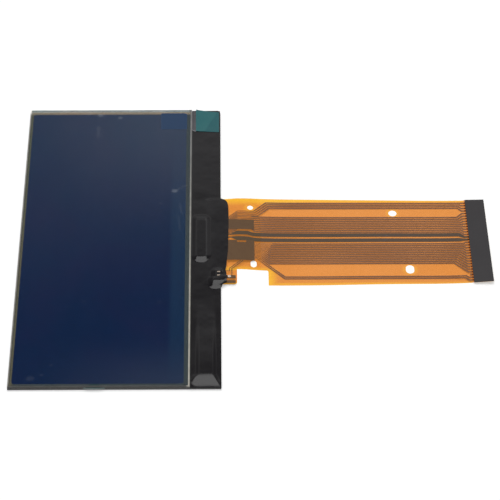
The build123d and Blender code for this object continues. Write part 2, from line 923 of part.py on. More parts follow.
save("rear_glass", make_rear_glass())
save("front_glass", make_front_glass())
save("liquid_crystal_layer", make_liquid_crystal())
save("perimeter_seal", make_perimeter_seal())
save("end_seal_plug", make_end_seal_plug())
save("rear_polariser", screen_sheet(0, polariser_thickness))
save("front_polariser", screen_sheet(front_glass_top, polariser_thickness))
save("protective_film", screen_sheet(polariser_top, protective_film_thickness))
save("driver_chip", make_driver_chip())
save("chip_bond_film", make_chip_bond_film())
save("tail_bond_film", make_flex_bond_film())
save("tail_base_film", make_base_film())
save("tail_coverlay", make_coverlay())
for group, outlines in conductor_groups.items():
    save(group, cut_from_layer(outlines, 0, copper_thickness))
fingers = [finger_outline(index, tail_length - contact_length) for index in range(contact_count)]
save("contact_plating", cut_from_layer(fingers, -plating_thickness, plating_thickness))
save("root_shield_copper", make_root_plates())
save("tab_copper", make_tab_copper())
save("root_coverlay", make_root_coverlay())
save("via_ring", make_via_ring())
save("capacitor_bodies", make_capacitor_bodies())
save("capacitor_terminals", make_terminals())
save("capacitor_solder", make_solder())
save("stiffener_adhesive", make_stiffener(root_copper_level, stiffener_adhesive_thickness))
save("contact_stiffener", make_stiffener(root_copper_level + stiffener_adhesive_thickness, stiffener_thickness))
save("ledge_tape", make_ledge_tape())
save("lift_tab_patch", make_adhesive_patch())
save("lift_tab_clear_tape", make_clear_tape())
save("lift_tab_green_film", make_green_tab())

for name, reach, place in (
    ("root hole", root_hole_reach, root_hole_place),
    ("outer hole", outer_hole_reach, outer_hole_place),
):
    point, normal = film_point(reach, place)
    print(name, "point", [round(value, 4) for value in point], "axis", [round(value, 5) for value in normal])
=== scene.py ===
# %% [markdown]
# A bare liquid crystal panel lies on a white table. It has a glass cell with a dark blue screen, a ledge
# covered with black tape, and an amber flexible tail with thirty conductors. The solids of every piece come
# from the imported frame, so this lesson gives them their finishes and makes new surfaces only where a real
# film or tape is wavier than a plain solid. All lengths are in metres, and `mm` turns millimetres into them.

# %% Load the frame
import json
import math

import bpy
import numpy as np
from mathutils import Matrix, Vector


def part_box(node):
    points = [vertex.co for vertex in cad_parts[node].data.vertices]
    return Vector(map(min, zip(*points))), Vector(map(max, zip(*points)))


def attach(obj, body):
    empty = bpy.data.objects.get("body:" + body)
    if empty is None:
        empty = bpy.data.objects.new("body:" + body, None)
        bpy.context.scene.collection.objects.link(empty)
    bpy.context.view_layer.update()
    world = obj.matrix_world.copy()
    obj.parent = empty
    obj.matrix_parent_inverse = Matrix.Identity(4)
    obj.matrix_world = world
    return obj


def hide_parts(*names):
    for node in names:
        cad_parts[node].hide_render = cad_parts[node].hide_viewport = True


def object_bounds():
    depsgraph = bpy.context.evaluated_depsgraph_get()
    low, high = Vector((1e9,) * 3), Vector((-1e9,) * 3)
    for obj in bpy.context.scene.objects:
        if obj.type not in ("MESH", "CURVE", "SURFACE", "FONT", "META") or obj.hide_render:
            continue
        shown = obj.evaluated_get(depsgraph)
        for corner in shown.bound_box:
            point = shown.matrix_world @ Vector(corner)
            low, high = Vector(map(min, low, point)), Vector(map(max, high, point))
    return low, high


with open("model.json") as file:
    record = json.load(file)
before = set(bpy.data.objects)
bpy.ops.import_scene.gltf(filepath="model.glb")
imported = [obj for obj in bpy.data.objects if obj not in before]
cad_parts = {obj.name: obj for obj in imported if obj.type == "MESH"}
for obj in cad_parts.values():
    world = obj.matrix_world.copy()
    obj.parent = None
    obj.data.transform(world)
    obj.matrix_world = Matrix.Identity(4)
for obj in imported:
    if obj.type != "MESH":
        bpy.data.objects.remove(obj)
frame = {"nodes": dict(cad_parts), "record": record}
cad_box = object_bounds()
mm = 0.001
print("frame holds", len(frame["nodes"]), "nodes")

# %% [markdown]
# Every later step asks where a node is. The frame answers with the node's lowest and highest corner, and
# one small class keeps those six numbers in millimetres, because thin films are easier to think of so.

# %% Places of the nodes


class Span:
    """Lowest and highest corner of one CAD node, in millimetres."""

    def __init__(self, node):
        low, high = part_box(node)
        self.x0, self.y0, self.z0 = (value / mm for value in low)
        self.x1, self.y1, self.z1 = (value / mm for value in high)


rear_glass = Span("rear_glass")
front_glass = Span("front_glass")
screen = Span("front_polariser")
film = Span("protective_film")
crystal = Span("liquid_crystal_layer")
chip = Span("driver_chip")
tail = Span("tail_base_film")
root_film = Span("root_coverlay")
tape = Span("ledge_tape")
patch = Span("lift_tab_patch")
clear = Span("lift_tab_clear_tape")
green = Span("lift_tab_green_film")
capacitors = Span("capacitor_bodies")
ledge_edge = rear_glass.x1
print("screen", round(screen.x1 - screen.x0, 2), "by", round(screen.y1 - screen.y0, 2), "mm")

# %% [markdown]
# The camera stands where the photograph was taken from: in front of the panel's near edge, looking down at
# about 45 degrees through a long lens. A camera in Blender looks along its own -Z, so tilting it up from
# straight down by 90 degrees less the pitch, and then turning it about Z, gives the view. A small roll is
# applied first, about the line of sight.

# %% Camera
camera_place = (29.94, -403.59, 408.01)
camera_pitch = 45.5
camera_yaw = 1.18
camera_roll = 0.64
camera_lens = 156.06

camera_data = bpy.data.cameras.new("camera")
camera_data.lens = camera_lens
camera_data.sensor_width = 36
camera_data.clip_start = 0.01
camera_data.clip_end = 20
camera = bpy.data.objects.new("camera", camera_data)
turn = Matrix.Rotation(math.radians(-camera_yaw), 4, "Z")
tilt = Matrix.Rotation(math.radians(90 - camera_pitch), 4, "X")
roll = Matrix.Rotation(math.radians(camera_roll), 4, "Z")
camera.matrix_world = Matrix.Translation([value * mm for value in camera_place]) @ turn @ tilt @ roll
bpy.context.scene.collection.objects.link(camera)
bpy.context.scene.camera = camera
print("camera is", round(math.hypot(*camera_place)), "mm from the panel's centre")

# %% [markdown]
# The light is that of a small product studio. A round soft box hangs overhead and makes the grey highlights
# on the raised parts of the tape. The room itself is the world: a white wall stands beyond the object. It
# fades out towards the ceiling, and partly towards the table and to both sides, so a level mirror shows more
# of it at the far end of the screen than at the near end. Together they light a level surface so that a
# colour renders about as it is written.

# %% Lamps and world
overhead_place = (0.03, 0.04, 0.9)
overhead_aim = (0.03, 0.04, 0.0)
overhead_size = (0.9, 1.02)
overhead_power = 7.9
bpy.context.scene.view_settings.view_transform = "Standard"


def soft_box(name, place, aim, size, power):
    """Round or oval area lamp at a place, turned to face a point. It is never seen itself."""
    data = bpy.data.lights.new(name, "AREA")
    data.shape = "ELLIPSE"
    data.size, data.size_y = size
    data.energy = power
    lamp = bpy.data.objects.new(name, data)
    back = np.array(place) - np.array(aim)
    back = back / np.linalg.norm(back)
    side = np.cross((0, 1, 0) if abs(back[2]) > 0.9 else (0, 0, 1), back)
    side = side / np.linalg.norm(side)
    up = np.cross(back, side)
    lamp.matrix_world = Matrix.Translation(place) @ Matrix(np.array([side, up, back]).T.tolist()).to_4x4()
    lamp.visible_camera = False
    bpy.context.scene.collection.objects.link(lamp)
    print(name, "lamp of", power, "watts")


soft_box("overhead", overhead_place, overhead_aim, overhead_size, overhead_power)

room_level = 0.16
wall_level = 1.08
wall_limits = [
    # axis of the direction, the values between which the wall fades in, and the share it starts from
    ("Z", 0.740, 0.65, 0.0),
    ("Z", 0.47, 0.62, 0.30),
    ("Y", 0.10, 0.55, 0.0),
    ("X", 0.60, 0.10, 0.25),
]


def make_room():
    """World whose strength is the room's, and grows to the wall's in a band that lies towards +Y."""
    world = bpy.data.worlds.new("world")
    world.use_nodes = True
    nodes = world.node_tree.nodes
    link = world.node_tree.links.new
    direction = nodes.new("ShaderNodeSeparateXYZ")
    link(nodes.new("ShaderNodeTexCoord").outputs["Generated"], direction.inputs[0])

    def math_node(operation, *values):
        made = nodes.new("ShaderNodeMath")
        made.operation = operation
        for socket, value in zip(made.inputs, values):
            if isinstance(value, bpy.types.NodeSocket):
                link(value, socket)
            else:
                socket.default_value = value
        return made.outputs[0]

    wall = 1.0
    for axis, start, end, least in wall_limits:
        step = nodes.new("ShaderNodeMapRange")
        step.interpolation_type = "SMOOTHSTEP"
        step.inputs["From Min"].default_value = start
        step.inputs["From Max"].default_value = end
        step.inputs["To Min"].default_value = least
        value = direction.outputs[axis]
        link(math_node("ABSOLUTE", value) if axis == "X" else value, step.inputs["Value"])
        wall = math_node("MULTIPLY", step.outputs["Result"], wall)
    strength = math_node("MULTIPLY_ADD", wall, wall_level - room_level, room_level)
    nodes["Background"].inputs["Color"].default_value = (1, 1, 1, 1)
    link(strength, nodes["Background"].inputs["Strength"])
    bpy.context.scene.world = world


make_room()

# %% [markdown]
# A new piece is a mesh worked out as whole arrays. The helpers here turn a grid of points into a closed
# sheet: a top, a bottom and a rim. Row numbers grow along X and column numbers along Y, and the order of the
# corners makes the top face upwards and the rim outwards.

# %% Mesh helpers


def grid_faces(rows, columns):
    """Corner numbers of the quads of a grid: each corner, the next row, both next, the next column."""
    corner = np.arange(rows * columns).reshape(rows, columns)
    quads = (corner[:-1, :-1], corner[1:, :-1], corner[1:, 1:], corner[:-1, 1:])
    return np.stack([quad.ravel() for quad in quads], axis=1)


def rim_loop(rows, columns):
    """Corner numbers round a grid's edge, counter-clockwise seen from above."""
    corner = np.arange(rows * columns).reshape(rows, columns)
    sides = (corner[:-1, 0], corner[-1, :-1], corner[:0:-1, -1], corner[0, :0:-1])
    return np.concatenate(sides)


def closed_sheet(top, bottom):
    """Points and faces of a sheet whose top and bottom are two grids of the same size."""
    rows, columns = top.shape[:2]
    count = rows * columns
    upper = grid_faces(rows, columns)
    lower = upper[:, ::-1] + count
    loop = rim_loop(rows, columns)
    after = np.roll(loop, -1)
    rim = np.stack([loop + count, after + count, after, loop], axis=1)
    points = np.concatenate([top.reshape(-1, 3), bottom.reshape(-1, 3)])
    return points, np.concatenate([upper, lower, rim])


def make_piece(name, points, faces, slot, nodes):
    """Mesh object in the frame, from points in millimetres, that stands for the given CAD nodes."""
    mesh = bpy.data.meshes.new(name)
    faces = faces if isinstance(faces, list) else faces.tolist()
    mesh.from_pydata((np.asarray(points) * mm).tolist(), [], faces)
    mesh.shade_smooth()
    mesh.set_sharp_from_angle(angle=math.radians(40))
    piece = bpy.data.objects.new(name, mesh)
    bpy.context.scene.collection.objects.link(piece)
    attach(piece, "root")
    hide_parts(*nodes)
    print(name, len(mesh.vertices), "points", len(mesh.polygons), "faces")
    return piece


def let_light_through(*pieces):
    """Keep a clear film from shading what lies under it: only what the camera sees through it is tinted."""
    for piece in pieces:
        piece.visible_shadow = False
        piece.visible_diffuse = False
        piece.visible_glossy = False


def raised_copy(name, node, rise, slot, warp=None):
    """Copy of a node's mesh, with its doubled corners merged, a hair higher, and warped if asked."""
    source = frame["nodes"][node].data
    points = np.empty(3 * len(source.vertices), np.float32)
    source.vertices.foreach_get("co", points)
    corners = np.empty(len(source.loops), np.int32)
    source.loops.foreach_get("vertex_index", corners)
    points, number = np.unique(np.round(points.reshape(-1, 3) / mm, 4), axis=0, return_inverse=True)
    faces = number.ravel()[corners].reshape(-1, 3)
    proper = (faces != np.roll(faces, 1, axis=1)).all(axis=1)
    points = points + (0, 0, rise)
    return make_piece(name, warp(points) if warp else points, faces[proper], slot, [node])


def stacked_rings(rings):
    """Points and faces of a solid given by rings of corners, from its bottom to its top."""
    count, corners = rings.shape[:2]
    ring = np.arange(count * corners).reshape(count, corners)
    after = np.roll(ring, -1, axis=1)
    sides = np.stack([ring[:-1], after[:-1], after[1:], ring[1:]], axis=2).reshape(-1, 4)
    return rings.reshape(-1, 3), sides.tolist() + [ring[0, ::-1].tolist(), ring[-1].tolist()]


def store(piece, name, values):
    """Keep one number for each point of a piece, for its material to read."""
    attribute = piece.data.attributes.new(name, "FLOAT", "POINT")
    attribute.data.foreach_set("value", np.asarray(values, np.float32).ravel())


def smooth_step(low, high, value):
    """0 below low, 1 above high, and in between three squares less two cubes of the share of the way."""
    share = np.clip((value - low) / (high - low), 0, 1)
    return share * share * (3 - 2 * share)


# %% [markdown]
# Waves on films and tapes need numbers that look random and are the same each run. Value noise does it: a
# coarse grid of random heights from a seeded generator is read between its points with smooth weights.

# %% Value noise


def value_noise(x, y, size, seed):
    """Random heights from -1 to 1 on a square grid of the given size, blended by smooth steps."""
    random = np.random.default_rng(seed)
    heights = random.uniform(-1, 1, (64, 64))
    column = x / size
    row = y / size
    left = np.floor(column).astype(int)
    low = np.floor(row).astype(int)
    across = smooth_step(0, 1, column - left)
    along = smooth_step(0, 1, row - low)
    total = 0
    for step_x, weight_x in ((0, 1 - across), (1, across)):
        for step_y, weight_y in ((0, 1 - along), (1, along)):
            total = total + heights[(left + step_x) % 64, (low + step_y) % 64] * weight_x * weight_y
    return total


# %% [markdown]
# Materials are node trees. A short class keeps the calls readable: each method adds one node and returns its
# output. Patterns read Object coordinates, which are metres in the frame, so a noise of scale 500 has
# features of about two millimetres on every piece.

# %% Material helper


class Paint:
    """One material and the few kinds of node that this lesson uses."""

    def __init__(self, name):
        self.material = bpy.data.materials.new(name)
        self.material.use_nodes = True
        self.tree = self.material.node_tree
        self.body = self.tree.nodes["Principled BSDF"]
        self.output = self.tree.nodes["Material Output"]
        self.coordinates = None

    def node(self, kind, values=None, **settings):
        """Add a node, set its properties, and set or link its inputs."""
        made = self.tree.nodes.new(kind)
        for key, value in settings.items():
            setattr(made, key, value)
        for key, value in (values or {}).items():
            self.set(made.inputs[key], value)
        return made

    def set(self, socket, value):
        if isinstance(value, bpy.types.NodeSocket):
            self.tree.links.new(value, socket)
        elif isinstance(value, tuple) and len(value) == 3 and socket.type == "RGBA":
            socket.default_value = (*value, 1)
        else:
            socket.default_value = value

    def finish(self, **values):
        """Set inputs of the main shader. Words in a name are joined with underscores."""
        for key, value in values.items():
            self.set(self.body.inputs[key.replace("_", " ")], value)
        return self.material

    def place(self):
        """Object coordinates, in metres."""
        if self.coordinates is None:
            self.coordinates = self.node("ShaderNodeTexCoord").outputs["Object"]
        return self.coordinates

    def axis(self, name):
        """One axis of the place, in millimetres."""
        split = self.node("ShaderNodeSeparateXYZ", {"Vector": self.place()})
        return self.math("DIVIDE", split.outputs[name], mm)

    def stretched(self, scale):
        """The place with each axis multiplied, for streaks."""
        return self.node("ShaderNodeMapping", {"Vector": self.place(), "Scale": scale}).outputs["Vector"]

    def noise(self, scale, detail=2.0, roughness=0.5, vector=None):
        values = {
            "Vector": vector or self.place(), "Scale": scale, "Detail": detail, "Roughness": roughness,
        }
        return self.node("ShaderNodeTexNoise", values).outputs["Fac"]

    def math(self, operation, first, second=0.0, third=0.0):
        values = {0: first, 1: second, 2: third}
        return self.node("ShaderNodeMath", values, operation=operation).outputs["Value"]

    def between(self, value, low, high, result_low=0.0, result_high=1.0):
        """The value moved smoothly from one range to another, and held at its ends."""
        values = {
            "Value": value, "From Min": low, "From Max": high, "To Min": result_low, "To Max": result_high,
        }
        made = self.node("ShaderNodeMapRange", values, interpolation_type="SMOOTHSTEP", clamp=True)
        return made.outputs["Result"]

    def blend(self, factor, first, second):
        """Colour between two colours."""
        made = self.node("ShaderNodeMix", data_type="RGBA")
        self.set(made.inputs["Factor"], factor)
        self.set(made.inputs[6], first)
        self.set(made.inputs[7], second)
        return made.outputs[2]

    def multiply(self, first, second):
        """Colour times a colour or a number, channel by channel."""
        made = self.node("ShaderNodeVectorMath", {0: first, 1: second}, operation="MULTIPLY")
        return made.outputs["Vector"]

    def stored(self, name):
        """Number kept for each point of the piece."""
        return self.node("ShaderNodeAttribute", attribute_name=name).outputs["Fac"]

    def bump(self, height, distance, strength=1.0):
        values = {"Height": height, "Distance": distance * mm, "Strength": strength}
        return self.node("ShaderNodeBump", values).outputs["Normal"]

    def see_through(self, tint, share):
        """Mix the body over a tinted window by its share."""
        window = self.node("ShaderNodeBsdfTransparent", {"Color": tint}).outputs["BSDF"]
        mixed = self.node("ShaderNodeMixShader", {0: share, 1: window, 2: self.body.outputs["BSDF"]})
        self.tree.links.new(mixed.outputs[0], self.output.inputs["Surface"])
        return self.material


def dress(material, *nodes):
    """Give CAD nodes their finish."""
    for name in nodes:
        mesh = frame["nodes"][name].data
        mesh.materials.clear()
        mesh.materials.append(material)


# %% [markdown]
# The table is a large pale plane. For the camera it also glows a little, so that it comes out white, while
# its diffuse part still takes the object's shadow. The glow is shown to mirrors and windows too. The table
# lies just below the lowest corner of the model, because the tail sags a few hundredths of a millimetre
# past the glass.

# %% Floor
floor_size = 6.0
floor_grey = 0.62
floor_glow = 0.45
floor_drop = 0.01 * mm


def make_floor():
    """Square plane just below the lowest corner of the CAD model, that glows for camera and mirrors."""
    half = floor_size / 2
    level = cad_box[0][2] - floor_drop
    corners = [(-half, -half, level), (half, -half, level), (half, half, level), (-half, half, level)]
    mesh = bpy.data.meshes.new("floor")
    mesh.from_pydata(corners, [], [(0, 1, 2, 3)])
    plane = bpy.data.objects.new("floor", mesh)
    bpy.context.scene.collection.objects.link(plane)
    paint = Paint("floor")
    rays = paint.node("ShaderNodeLightPath").outputs
    seen = paint.math("MAXIMUM", rays["Is Camera Ray"], rays["Is Glossy Ray"])
    seen = paint.math("MAXIMUM", seen, rays["Is Transmission Ray"])
    glow = paint.math("MULTIPLY", seen, floor_glow)
    paint.finish(Base_Color=(floor_grey,) * 3, Roughness=0.9, Specular_IOR_Level=0.0)
    paint.finish(Emission_Color=(1, 1, 1), Emission_Strength=glow)
    mesh.materials.append(paint.material)
    print("floor lies", round(-level / mm, 3), "mm below the origin")


make_floor()

# %% [markdown]
# Glass shows little of itself. Where the polariser covers it, it is almost invisible, but its bare rim is
# pale from fine grinding marks and its cut sides are dark with a lighter line. One material does all
# three: it measures how far a point is from the middle, and reads which way the surface faces. On the
# bare rim it also paints highlights where the edges catch the light: a pale line at the left edge, a pale
# far rim, and a right strip painted lighter at the near end than at the far end. The front sheet is made
# anew, as four rings of corners, so that its edges have the small ground chamfers of real glass and its
# underside lies a hair above the liquid crystal, where two faces in one plane would flicker.

# %% Glass
layer_gap = 0.002
glass_chamfer = 0.06


def make_front_glass():
    """Four rings of corners: the rectangle of the sheet, drawn in by the chamfer at its bottom and top."""
    levels = (front_glass.z0 + layer_gap, front_glass.z0 + glass_chamfer, front_glass.z1 - glass_chamfer,
              front_glass.z1 - layer_gap)
    insets = (glass_chamfer, 0, 0, glass_chamfer)
    rings = [
        [
            (front_glass.x0 + inset, front_glass.y0 + inset, level),
            (front_glass.x1 - inset, front_glass.y0 + inset, level),
            (front_glass.x1 - inset, front_glass.y1 - inset, level),
            (front_glass.x0 + inset, front_glass.y1 - inset, level),
        ]
        for level, inset in zip(levels, insets)
    ]
    return make_piece("front_glass_sheet", *stacked_rings(np.array(rings)), "glass", ["front_glass"])


def front_glass_paint():
    paint = Paint("front_glass_finish")
    across = paint.axis("X")
    along = paint.axis("Y")
    outside = paint.math("MAXIMUM",
                         paint.between(paint.math("ABSOLUTE", across), screen.x1 - 0.05, screen.x1 + 0.05),
                         paint.between(paint.math("ABSOLUTE", along), screen.y1 - 0.05, screen.y1 + 0.05))
    normal = paint.node("ShaderNodeNewGeometry").outputs["Normal"]
    facing = paint.node("ShaderNodeSeparateXYZ", {"Vector": normal})
    level = paint.between(facing.outputs["Z"], 0.3, 0.6)
    grinding = paint.noise(1500, 3, 0.7, paint.stretched((0.2, 0.2, 3.0)))
    # Painted highlights on the bare rim: a pale line at the left edge, a pale far rim, and a right strip
    # lighter at the near end.
    rim = paint.blend(paint.between(across, -22.2, -22.4), (0.070, 0.072, 0.070), (0.27, 0.26, 0.23))
    rim = paint.blend(paint.between(along, 49, 51), rim, (1.0, 0.98, 0.92))
    right = paint.blend(paint.between(along, -50, 50), (0.48, 0.46, 0.40), (0.19, 0.19, 0.185))
    rim = paint.blend(paint.between(across, 21.5, 22.3), rim, right)
    shade = paint.between(grinding, 0.3, 0.7, 0.75, 1.0)
    sides = paint.blend(grinding, (0.009, 0.009, 0.009), (0.022, 0.021, 0.020))
    colour = paint.multiply(paint.blend(level, sides, rim), shade)
    share = paint.math("MULTIPLY_ADD", outside, 0.9, 0.005)
    paint.finish(Base_Color=colour, Roughness=0.18, Normal=paint.bump(grinding, 0.02, 0.4))
    return paint.see_through((0.99, 0.995, 0.993), share)


glass_sheet = make_front_glass()
glass_sheet.data.materials.append(front_glass_paint())
let_light_through(glass_sheet)


def rear_glass_paint():
    """The rear sheet shows only its dark cut sides and a sliver of its ledge."""
    paint = Paint("rear_glass_finish")
    grinding = paint.noise(1500, 3, 0.7, paint.stretched((0.3, 0.3, 4.0)))
    colour = paint.blend(grinding, (0.010, 0.011, 0.011), (0.050, 0.051, 0.051))
    return paint.finish(Base_Color=colour, Roughness=0.2, Normal=paint.bump(grinding, 0.02, 0.4))


dress(rear_glass_paint(), "rear_glass")

# %% [markdown]
# Inside the cell lie the liquid crystal field and the seal round it. The field is deep blue when it is off,
# and a little greener towards the ledge. It is also painted paler towards both ends and towards the right:
# a painted sheen that stands in for the screen's reflection. The seal looks grey near the camera and
# warmer at the left and far sides. Both are seen through the dark polariser, so they are written brighter
# than they appear.
# A path tracer follows a ray through only so many windows, and light needs as many as the camera on its way
# down. So the clear layers over the screen let light rays pass, and tint the camera's rays alone. The gloss
# of the whole stack is given to these opaque layers, and the clear ones have none.

# %% Liquid crystal, seal and plug


def crystal_paint():
    paint = Paint("liquid_crystal_finish")
    across = paint.axis("X")
    greener = paint.between(across, crystal.x1 - 4.5, crystal.x1 - 3.0)
    mottle = paint.between(paint.noise(42, 3, 0.6), 0.35, 0.65)
    blue = paint.blend(mottle, (0.0040, 0.028, 0.110), (0.0100, 0.025, 0.108))
    along = paint.axis("Y")
    warmer = paint.math("MULTIPLY", paint.between(across, -6, 18), paint.between(along, -14, -46))
    blue = paint.blend(paint.math("MULTIPLY", warmer, paint.between(mottle, 0, 1, 0.4, 1)), blue,
                       (0.022, 0.032, 0.120))
    colour = paint.blend(greener, blue, (0.015, 0.052, 0.140))
    # Painted sheen: paler towards both ends and towards the right.
    ends = paint.math("MAXIMUM", paint.between(along, -32, -54), paint.between(along, 2, 46))
    painted_sheen = paint.math("MULTIPLY", paint.between(across, -24, 20), ends)
    colour = paint.blend(painted_sheen, colour, (0.050, 0.072, 0.150))
    return paint.finish(Base_Color=colour, Roughness=0.08, Specular_IOR_Level=0.72)


def seal_paint():
    paint = Paint("seal_finish")
    left = paint.between(paint.axis("X"), -21.0, -22.0)
    far = paint.between(paint.axis("Y"), 49.6, 50.4)
    spacers = paint.noise(2500, 2, 0.6)
    grey = paint.blend(spacers, (0.078, 0.090, 0.096), (0.128, 0.142, 0.144))
    colour = paint.blend(left, grey, (0.23, 0.195, 0.125))
    colour = paint.blend(far, colour, (0.62, 0.43, 0.30))
    return paint.finish(Base_Color=colour, Roughness=0.2, Specular_IOR_Level=0.4)


def plug_paint():
    paint = Paint("plug_finish")
    cloud = paint.noise(900, 3)
    colour = paint.blend(cloud, (0.03, 0.06, 0.06), (0.10, 0.15, 0.15))
    return paint.finish(Base_Color=colour, Roughness=0.15, Coat_Weight=0.5)


dress(crystal_paint(), "liquid_crystal_layer")
dress(seal_paint(), "perimeter_seal")
dress(plug_paint(), "end_seal_plug")

# %% [markdown]
# A polariser is a dark film glued to the glass, and here a window with a grey tint. The new sheet leaves a
# gap of two thousandths of a millimetre to its neighbours, so that no two faces lie in the same plane.

# %% Polarisers


def flat_grid(box, rows, columns, level):
    """Grid of points over a box's plan at one level."""
    across = np.linspace(box.x0, box.x1, rows)
    along = np.linspace(box.y0, box.y1, columns)
    x, y = np.meshgrid(across, along, indexing="ij")
    return np.stack([x, y, np.full_like(x, level)], axis=2)


def make_polariser():
    top = flat_grid(screen, 2, 2, screen.z1 - layer_gap)
    bottom = flat_grid(screen, 2, 2, screen.z0 + layer_gap)
    piece = make_piece("front_polariser_sheet", *closed_sheet(top, bottom), "front_polariser",
                       ["front_polariser"])
    paint = Paint("front_polariser_finish")
    fibres = paint.noise(400, 3, 0.6, paint.stretched((1.0, 0.15, 1.0)))
    colour = paint.blend(fibres, (0.010, 0.012, 0.02), (0.02, 0.022, 0.03))
    paint.finish(Base_Color=colour, Roughness=0.3, Specular_IOR_Level=0.0)
    piece.data.materials.append(paint.see_through((0.68, 0.70, 0.71), 0.02))
    let_light_through(piece)


def rear_polariser_paint():
    paint = Paint("rear_polariser_finish")
    fibres = paint.noise(400, 3, 0.6, paint.stretched((1.0, 0.15, 1.0)))
    colour = paint.blend(fibres, (0.035, 0.038, 0.042), (0.06, 0.064, 0.07))
    return paint.finish(Base_Color=colour, Roughness=0.22, Coat_Weight=0.3, Coat_Roughness=0.1)


make_polariser()
dress(rear_polariser_paint(), "rear_polariser")

# %% [markdown]
# A thin clear film protects the screen. It has small oval dents and bubbles and a few scratches. The dents
# are real hollows in a fine grid, and each point also keeps how cloudy the film is there. That pale share is
# partly the film's own cloudiness and partly painted glints where the dents and scratches catch the light.
# A dent is nearly flat in its middle and fades out with the squared distance from its centre, counted in the
# dent's own half lengths. A scratch is a bell curve of the distance from its line.

# %% Protective film
film_step = 0.33
dent_depth = 0.08
film_wave_depth = 0.003
film_wave_size = 9.0
deepest_hollow = 0.03
cloud_and_glint_strength = 0.27
film_dents = [
    # x, y, half length along x, half width along y, cloudiness and painted glint
    (-6.40, 49.45, 0.90, 0.55, 0.16),
    (-2.87, 48.77, 0.85, 0.65, 0.20),
    (2.62, 47.71, 0.60, 0.50, 0.20),
    (18.06, 18.25, 0.80, 0.65, 0.22),
    (-17.00, -48.70, 1.00, 0.80, 0.05),
    (-14.20, -47.60, 0.35, 0.25, 0.08),
    (-12.00, -44.20, 0.30, 0.25, 0.07),
    (-4.80, -22.50, 0.50, 0.40, 0.03),
    (14.60, -22.80, 0.55, 0.40, 0.03),
    (14.40, 13.40, 0.25, 0.20, 0.12),
]
film_scratches = [
    # start x, y, end x, y, half width, cloudiness and painted glint
    (18.60, 18.60, 21.14, 20.38, 0.16, 0.10),
    (19.60, 13.00, 20.10, 9.40, 0.22, 0.07),
    (19.30, 8.60, 19.70, 3.50, 0.25, 0.05),
    (-3.24, 43.79, -3.40, 40.00, 0.45, 0.07),
]


def film_marks(x, y):
    """Cloudiness and painted glints of the film: a spot that fades by a smooth step per dent, a bell curve
    per scratch.
    """
    marks = np.zeros_like(x)
    for centre_x, centre_y, half_x, half_y, amount in film_dents:
        spread = ((x - centre_x) / half_x) ** 2 + ((y - centre_y) / half_y) ** 2
        marks += amount * (1 - smooth_step(0.6, 1.6, spread)) * (0.7 + 0.3 * np.exp(-spread))
    for start_x, start_y, end_x, end_y, half, amount in film_scratches:
        run = np.array([end_x - start_x, end_y - start_y])
        share = np.clip(((x - start_x) * run[0] + (y - start_y) * run[1]) / (run @ run), 0, 1)
        away = np.hypot(x - start_x - share * run[0], y - start_y - share * run[1])
        marks += amount * np.exp(-((away / half) ** 2))
    return marks


def make_protective_film():
    rows = int((film.x1 - film.x0) / film_step)
    columns = int((film.y1 - film.y0) / film_step)
    top = flat_grid(film, rows, columns, film.z1)
    bottom = flat_grid(film, rows, columns, film.z0 + layer_gap)
    x, y = top[:, :, 0], top[:, :, 1]
    marks = film_marks(x, y)
    waves = 0.5 + 0.5 * value_noise(x, y, film_wave_size, 11)
    top[:, :, 2] -= np.minimum(dent_depth * marks + film_wave_depth * waves, deepest_hollow)
    piece = make_piece("protective_film_sheet", *closed_sheet(top, bottom), "protective_film",
                       ["protective_film"])
    store(piece, "cloud", np.concatenate([marks.ravel(), marks.ravel()]))
    return piece


def film_paint():
    paint = Paint("protective_film_finish")
    streaks = paint.noise(45, 4, 0.65, paint.stretched((1.0, 0.35, 1.0)))
    tint = paint.blend(paint.between(streaks, 0.35, 0.7), (1, 1, 1), (0.90, 0.97, 0.985))
    rub = paint.noise(500, 4, 0.7)
    grain = paint.between(rub, 0.3, 0.7, 0.75, 1.1)
    # Painted glints: the pale share over the dents and scratches is partly cloudiness and partly painted
    # glints.
    share = paint.math("MULTIPLY", paint.math("MULTIPLY", paint.stored("cloud"), cloud_and_glint_strength), grain)
    paint.finish(Base_Color=(0.62, 0.66, 0.72), Roughness=0.4, Specular_IOR_Level=0.0)
    return paint.see_through(tint, share)


protective_sheet = make_protective_film()
protective_sheet.data.materials.append(film_paint())
let_light_through(protective_sheet)

# %% [markdown]
# The tail's films are amber polyimide. The white table shows through them, and each film face tints it, so
# a bare stretch glows orange while copper under the film stays dark brown. That is done with a tinted
# window in each film. The coverlay, with its adhesive, is the deeper one, and the base film takes over its
# tint only past the coverlay's end. Near the film's edges and round its holes light reaches the table
# unfiltered, so the film glows yellow there: the tint is paler close to each edge. The films are copies of
# their nodes, each raised by a hair, so that no face of a film lies in the plane of a copper face. Their
# long edges are moved outwards a little near the root, where the real tail is slightly wider.

# %% Polyimide films
film_rise = 0.012
cover_rise = 0.001
film_spread = 0.45
near_spread_share = 0.85
spread_sets_in = (30.6, 32.0)
spread_fades = (45, 96)
far_edge_band = 0.45
near_edge_band = 0.95
root_glow_width = 2.8
run_glow_width = 0.9
near_glow = 0.7
inner_glow = 0.75
hole_glow = 0.45
hole_edge = 1.1
outer_slot = (tail.x1 * mm - 0.02145, -0.0103)
cover_end = Span("tail_coverlay").x1
mounts = {mount["name"]: mount for mount in frame["record"]["mounts"]}
notch_end = ledge_edge + 12.45
notch_side = tail.y0 + 5.5
hole_glows = [
    # x and y of the hole in metres, and how far its glow reaches in millimetres
    (*mounts["outer_pin_hole"]["pos_m"][:2], 2.2),
    (*mounts["root_pin_hole"]["pos_m"][:2], 2.4),
    (*outer_slot, 2.6),
]


def spread_film(points):
    """Move the long edges outwards: by the spread near the root, and by less towards the contacts."""
    points = points.copy()
    x, y = points[:, 0], points[:, 1]
    fading = film_spread * (1 - smooth_step(*spread_fades, x)) * smooth_step(*spread_sets_in, x)
    points[:, 1] += np.where(y > tail.y1 - far_edge_band, fading, 0)
    near = (y < tail.y0 + near_edge_band) & (x > notch_end - 0.1)
    points[:, 1] -= np.where(near, near_spread_share * fading, 0)
    return points


